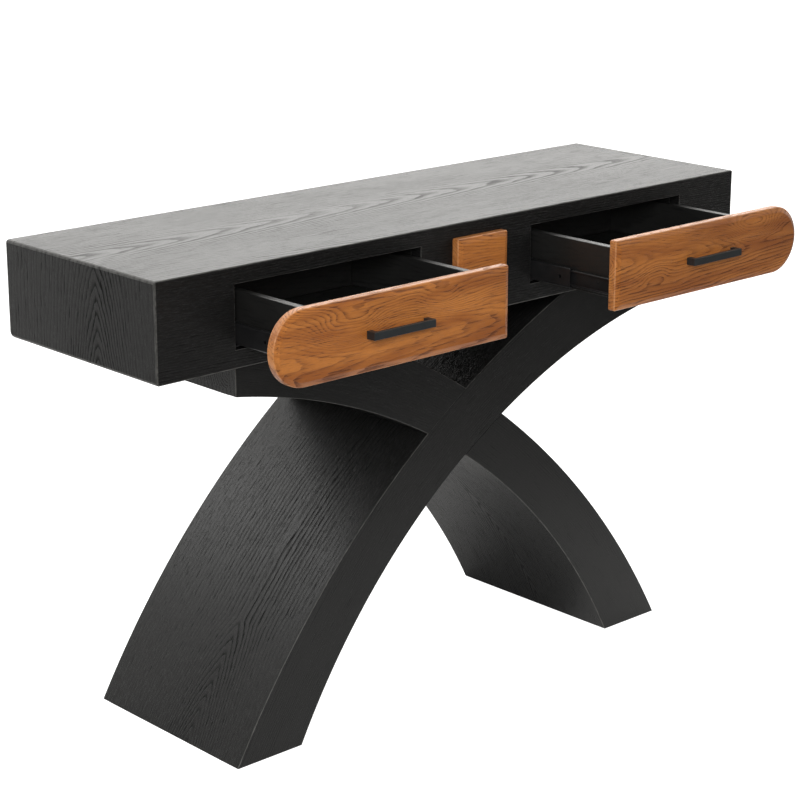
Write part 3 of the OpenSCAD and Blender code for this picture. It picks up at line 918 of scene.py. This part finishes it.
def front_outline(low, high, round_end, inset):
    """A front's outline, drawn in by inset: small corners, and a half circle at its
    outer end. low and high are its X-Z corners, with the outer end at high."""
    r = max(FRONT_CORNER_R - inset, FRONT_CORNER_R / 20)
    x0, z0, x1, z1 = low[0] + inset, low[1] + inset, high[0] - inset, high[1] - inset
    corners = [(x0 + r, z1 - r, 90, r), (x0 + r, z0 + r, 180, r)]
    if round_end:
        big = (z1 - z0) / 2
        corners += [(x1 - big, z0 + big, 270, big), (x1 - big, z1 - big, 0, big)]
    else:
        corners += [(x1 - r, z0 + r, 270, r), (x1 - r, z1 - r, 0, r)]
    points = []
    for cx, cz, start, radius in corners:
        count = 5 if radius == r else 24
        for k in range(count + 1):
            a = math.radians(start + 90 * k / count)
            points.append((cx + radius * math.cos(a), cz + radius * math.sin(a)))
    return [p for i, p in enumerate(points) if math.dist(p, points[i - 1]) > SAME]


def front_edge_highlight(face):
    """How pale a face of a front is: a painted highlight on its arrises most, its sides less,
    its face not.
    """
    turned = abs(face.normal.y)
    if turned < 0.15:
        return 0.35
    return 1.0 if turned < 0.75 else 0.0


def front_profile(face_y, back_y):
    """How far a front is drawn in from its outline, and at which Y, from its face to its back:
    the start of the slope, the slope and the face's rounding, and the back's rounding."""
    fall = math.tan(FRONT_SLOPE)
    profile = [(FRONT_SLOPE_W + FRONT_SLOPE_EASE, face_y),
               (FRONT_SLOPE_W - FRONT_SLOPE_EASE, face_y + 2 * FRONT_SLOPE_EASE * fall)]
    slope_end = FRONT_EDGE_R * (1 - math.sin(FRONT_SLOPE))
    drop = (FRONT_SLOPE_W - slope_end) * fall
    for k in range(7):
        a = FRONT_SLOPE + (math.pi / 2 - FRONT_SLOPE) * k / 6
        back = drop + FRONT_EDGE_R * (math.cos(FRONT_SLOPE) - math.cos(a))
        profile.append((FRONT_EDGE_R * (1 - math.sin(a)), face_y + back))
    for k in range(4):
        a = math.radians(90 * k / 3)
        inset = FRONT_BACK_R * (1 - math.cos(a))
        profile.append((inset, back_y - FRONT_BACK_R * (1 - math.sin(a))))
    return profile


def post_places(lo, hi):
    """X of the middles of a handle's two posts, from the handle's box."""
    return lo.x + HANDLE_POST / 2, hi.x - HANDLE_POST / 2


def front_plate(name, flip, round_end, body, shift):
    """A drawer front, or the fixed tab between the drawers, with a rounded face."""
    lo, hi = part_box(name)
    middle_z = (lo.z + hi.z) / 2
    xs = sorted((lo.x * flip, hi.x * flip))
    rings = []
    for inset, y in front_profile(lo.y, hi.y):
        outline = front_outline((xs[0], lo.z), (xs[1], hi.z), round_end, inset)
        rings.append([Vector((x * flip, y, z)) for x, z in outline])
    obj = new_object(name, rings_mesh(rings))
    if round_end:
        posts = post_places(*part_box(name.replace("drawer_front", "handle")))
        starts = [Vector((x, lo.y - OVERSHOOT, middle_z)) for x in posts]
        drill(obj, starts, [Vector((0, 1, 0))] * 2, FRONT_HOLE_R, hi.y - lo.y + 2 * OVERSHOOT)
    smooth(obj, 50)
    lay_grain(obj, straight((1, 0, 0), (0, 0, 1), (0, lo.y, middle_z)), shift)
    mark_edges(obj, front_edge_highlight)
    finish_piece(obj, body, oak_wood, [name])


front_plate("centre_tab", 1, False, "case", (6.3, 0.02))
for side, shift in (("left", (0.5, 0.03)), ("right", (4.1, -0.02))):
    front_plate(side + "_drawer_front", SIGN[side], True, side + "_drawer", shift)


# ---- handles

def handle(side):
    """A flat bar bent to a U, with the screws' holes in its posts."""
    name = side + "_handle"
    lo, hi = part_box(name)
    inner_y = lo.y + HANDLE_BAR
    outline = [(lo.x, lo.y), (hi.x, lo.y), (hi.x, hi.y), (hi.x - HANDLE_POST, hi.y),
               (hi.x - HANDLE_POST, inner_y), (lo.x + HANDLE_POST, inner_y),
               (lo.x + HANDLE_POST, hi.y), (lo.x, hi.y)]
    obj = prism(name, outline, (lo.z, hi.z), ROUND, lambda x, y, z: Vector((x, y, z)),
                HANDLE_EDGE_R)
    starts = [Vector((x, hi.y - HANDLE_HOLE_DEPTH, (lo.z + hi.z) / 2))
              for x in post_places(lo, hi)]
    drill(obj, starts, [Vector((0, 1, 0))] * 2, HANDLE_HOLE_R, HANDLE_HOLE_DEPTH + OVERSHOOT)
    smooth(obj)
    finish_piece(obj, side + "_drawer", handle_metal, [name])


for side in SIDES:
    handle(side)


# ---- drawer slides

def rolled(path, bend, thickness):
    """Outline of a bent sheet of even thickness round a path of straight runs. bend is how far
    a bend reaches along them, where they are long enough."""
    points = [Vector(p) for p in path]
    middle = [points[0]]
    for before, at, after in zip(points, points[1:], points[2:]):
        a, b = (before - at).normalized(), (after - at).normalized()
        reach = min(bend, (before - at).length * 0.45, (after - at).length * 0.45)
        for k in range(5):
            t = k / 4
            middle.append((at + a * reach) * (1 - t) ** 2 + at * 2 * t * (1 - t)
                          + (at + b * reach) * t ** 2)
    middle.append(points[-1])
    left, right = [], []
    for i, p in enumerate(middle):
        ahead = middle[min(i + 1, len(middle) - 1)] - middle[max(i - 1, 0)]
        normal = Vector((-ahead.y, ahead.x)).normalized() * thickness / 2
        left.append(p + normal)
        right.append(p - normal)
    return [tuple(p) for p in left + right[::-1]]


def rail(name, body, open_left, lip, holes):
    """A slide member: a rolled channel with lipped flanges, and round holes in its web at
    these distances from its front end."""
    lo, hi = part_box(name)
    t = SLIDE_T
    middle_z = (lo.z + hi.z) / 2
    half = (hi.z - lo.z) / 2 - t / 2
    web, tip = (hi.x - t / 2, lo.x + t / 2) if open_left else (lo.x + t / 2, hi.x - t / 2)
    path = [(tip, middle_z + half - lip), (tip, middle_z + half), (web, middle_z + half),
            (web, middle_z - half), (tip, middle_z - half), (tip, middle_z - half + lip)]
    obj = prism(name, rolled(path, SLIDE_BEND, t), (lo.y, hi.y), SHARP,
                lambda x, z, y: Vector((x, y, z)), t)
    starts = [Vector((lo.x - OVERSHOOT, lo.y + at, middle_z)) for at in holes]
    drill(obj, starts, [Vector((1, 0, 0))] * len(starts), SLIDE_HOLE_R,
          hi.x - lo.x + 2 * OVERSHOOT)
    smooth(obj, 40)
    finish_piece(obj, body, slide_steel, [name])


for side in SIDES:
    for place in PLACES:
        stem = f"{side}_{place}_slide"
        web_on_left = (side == "right") == (place == "inner")
        rail(stem + "_case_rail", "case", not web_on_left, CASE_RAIL_LIP, (0.035, 0.13, 0.25))
        rail(stem + "_middle", stem + "_middle", not web_on_left, RUNNER_LIP, (0.02, 0.28))
        rail(stem + "_box_rail", side + "_drawer", web_on_left, RUNNER_LIP, (0.03, 0.12, 0.21))


# ---- parts kept from the CAD

# (nodes, material, rounding of their edges in millimetres)
KEPT = [
    (["back_panel"], black_back, 0.6),
    ([f"{s}_{p}_partition" for s in SIDES for p in PLACES], box_depthwise, 0.5),
    ([f"{s}_box_{p}_side" for s in SIDES for p in PLACES], box_depthwise, 1.2),
    ([f"{s}_box_{e}" for s in SIDES for e in ("front", "back")], box_lengthwise, 1.2),
    ([s + "_box_bottom" for s in SIDES], box_flat, 0.4),
    ([s + "_handle_screws" for s in SIDES], zinc, 0.2),
    (["leg_bolts"], zinc, 0.4),
    (["top_blocks"], black_lengthwise, 0.3),
    (["foot_blocks", "crossing_block", "crossing_dowels"], raw_wood, 0.5),
]


def dress_kept(name, material, radius_mm):
    """Gives a CAD node a material and slightly rounded edges."""
    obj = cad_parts[name]
    obj.data.materials.clear()
    obj.data.materials.append(material)
    weld = obj.modifiers.new("weld", "WELD")
    weld.merge_threshold = SAME
    flat = obj.modifiers.new("flat", "DECIMATE")
    flat.decimate_type = "DISSOLVE"
    flat.angle_limit = math.radians(1)
    bevel = obj.modifiers.new("ease", "BEVEL")
    bevel.width = radius_mm * MM
    bevel.segments = 3
    bevel.limit_method = "ANGLE"
    bevel.angle_limit = math.radians(40)
    bevel.use_clamp_overlap = True
    keep_flat(obj)


for names, material, radius_mm in KEPT:
    for name in names:
        dress_kept(name, material, radius_mm)


# ---- studio

AIM = Vector((0.0156, 0.1056, 0.4335))   # what the camera looks at
AZIMUTH, ELEVATION, ROLL = map(math.radians, (-42.72, 16.54, 0.14))
DISTANCE = 3.5286                        # from there to the camera
LENS, SENSOR = 98.98, 36                 # both in millimetres
AHEAD = (0.678, 0.735, 0.0)              # the camera's way over the floor
ASIDE = (0.735, -0.678, 0.0)             # and across it
WHITE, UNLIT = (1.0, 1.0, 1.0), (0.0, 0.0, 0.0)


def make_camera():
    data = bpy.data.cameras.new("camera")
    data.lens, data.sensor_width = LENS, SENSOR
    data.clip_start, data.clip_end = 0.05, 100
    camera = linked("camera", data)
    back = Vector((math.sin(AZIMUTH) * math.cos(ELEVATION),
                   -math.cos(AZIMUTH) * math.cos(ELEVATION), math.sin(ELEVATION)))
    turn = (-back).to_track_quat("-Z", "Y").to_matrix() @ Matrix.Rotation(ROLL, 3, "Z")
    camera.matrix_world = Matrix.Translation(AIM + back * DISTANCE) @ turn.to_4x4()
    bpy.context.scene.camera = camera


def make_floor():
    """A floor that the camera sees plain white. To the table it glows, but dimly near the
    camera and on the right, and hardly in the shade under the table."""
    bm = bmesh.new()
    bmesh.ops.create_grid(bm, x_segments=1, y_segments=1, size=20)
    floor = new_object("floor", bm)
    material = bpy.data.materials.new("floor_paper")
    graph = Graph(material)
    place = graph.place()

    aside = graph.math("ABSOLUTE", graph.along(place, ASIDE))
    near = graph.math("MULTIPLY", graph.along(place, AHEAD), -1.0)
    dark = graph.step(graph.math("MULTIPLY_ADD", aside, 0.4, near), 0.70, 1.02)
    dark = graph.math("MULTIPLY", dark, graph.step(near, -0.6, 0.25))
    right = graph.step(graph.along(place, (0.55, -0.83, 0.0)), 0.7, 1.3)
    dark = graph.math("MAXIMUM", dark, right)

    offset = graph.vector("SUBTRACT", place, (0.0, 0.17, 0.0)).outputs[0]
    offset = graph.scaled(offset, (1 / 0.5, 1 / 0.2, 0.0))
    from_middle = graph.vector("LENGTH", offset).outputs["Value"]
    shade = graph.math("MULTIPLY", graph.step(from_middle, 1.3, 0.75), 0.87)

    glow = graph.mix(dark, (0.88, 0.87, 0.85), (0.044, 0.044, 0.042))
    glow = graph.mix(shade, glow, UNLIT)
    graph.shade("Base Color", graph.mix(dark, (0.40, 0.40, 0.40), (0.14, 0.14, 0.14)))
    graph.shade("Emission Color", graph.mix(graph.camera_sees(), glow, WHITE))
    graph.shade("Emission Strength", 1.0)
    graph.shade("Roughness", 0.9)
    floor.data.materials.append(material)


def make_world():
    """A white studio. To the table it is brightest behind and dim on the camera's side."""
    world = bpy.data.worlds.new("studio")
    bpy.context.scene.world = world
    graph = Graph(world)
    direction = graph.node("ShaderNodeTexCoord").outputs["Generated"]
    behind = graph.step(graph.along(direction, AHEAD), -0.1, 0.9)
    up = graph.step(graph.split(direction)[2], 0.1, 0.9)
    strength = graph.math("MULTIPLY_ADD", up, 0.15, graph.lerp(behind, 0.07, 3.06))
    strength = graph.lerp(graph.camera_sees(), strength, 1.1)
    graph.shade("Strength", strength, shader="Background")
    graph.shade("Color", (1.0, 0.99, 0.965, 1.0), shader="Background")


def add_light(name, place, target, size, power):
    """A soft box that the camera doesn't see: its size in metres and its power in watts."""
    data = bpy.data.lights.new(name, "AREA")
    data.shape = "RECTANGLE"
    data.size, data.size_y = size
    data.energy = power
    light = linked(name, data)
    place, target = Vector(place), Vector(target)
    turn = (target - place).to_track_quat("-Z", "Y").to_matrix().to_4x4()
    light.matrix_world = Matrix.Translation(place) @ turn
    light.visible_camera = False


make_camera()
make_floor()
make_world()
add_light("key", (-2.4, -2.3, 2.0), (0, 0, 0.5), (1.4, 1.4), 88)
add_light("rim", (-1.35, 2.3, 2.0), (-0.2, 0.1, 0.3), (1.1, 0.8), 12)
bpy.context.scene.view_settings.view_transform = "Standard"
